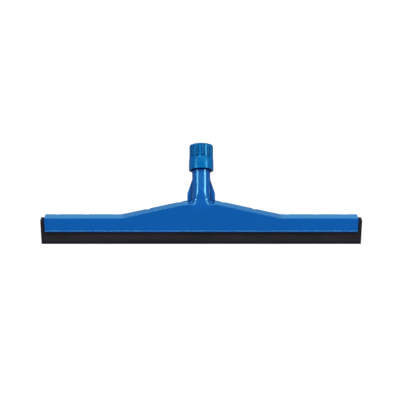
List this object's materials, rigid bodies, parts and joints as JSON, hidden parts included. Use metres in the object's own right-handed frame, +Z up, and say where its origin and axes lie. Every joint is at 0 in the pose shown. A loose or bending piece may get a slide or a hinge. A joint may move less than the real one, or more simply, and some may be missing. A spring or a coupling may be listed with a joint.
{
  "type": "floor squeegee head",
  "caption": "Floor squeegee head: a long plastic frame that grips foam rubber strips, with a leaning tube socket and a clamp nut that locks a round handle.",
  "frame": {"origin": "middle of the working edge, between the lower faces of the two foam strips", "axes": "+X along the blade, -Y the smooth front face, +Y the back, to which the socket leans, +Z up from the working edge"},
  "size_m": [0.55, 0.0916, 0.1651],
  "materials": {
    "frame_plastic": "moulded polypropylene, satin gloss",
    "jaw_plastic": "moulded polypropylene, satin gloss",
    "nut_plastic": "moulded polypropylene, satin gloss",
    "sleeve_plastic": "natural nylon",
    "core_plastic": "extruded, matt",
    "foam_rubber": "black cellular rubber with a fine open skin",
    "screw_steel": "stainless steel"
  },
  "bodies": {
    "head": {"front_frame": "frame_plastic", "rear_jaw": "jaw_plastic", "front_blade": "foam_rubber", "rear_blade": "foam_rubber", "core_strip": "core_plastic", "jaw_screws": "screw_steel"},
    "sleeve": {"clamp_sleeve": "sleeve_plastic"},
    "nut": {"clamp_nut": "nut_plastic"}
  },
  "joints": [
    {"name": "sleeve_slide", "type": "slide", "parent": "head", "child": "sleeve", "axis": [0, 0.5736, 0.8192], "range_m": [-0.003, 0.008]},
    {"name": "nut_turn", "type": "hinge", "parent": "sleeve", "child": "nut", "pos_m": [0, 0.00934, 0.075], "axis": [0, 0.5736, 0.8192], "range_deg": [-270, 720]}
  ],
  "couplings": [
    {"joint": "sleeve_slide", "follows": "nut_turn", "m_per_rad": 0.00063662}
  ]
}
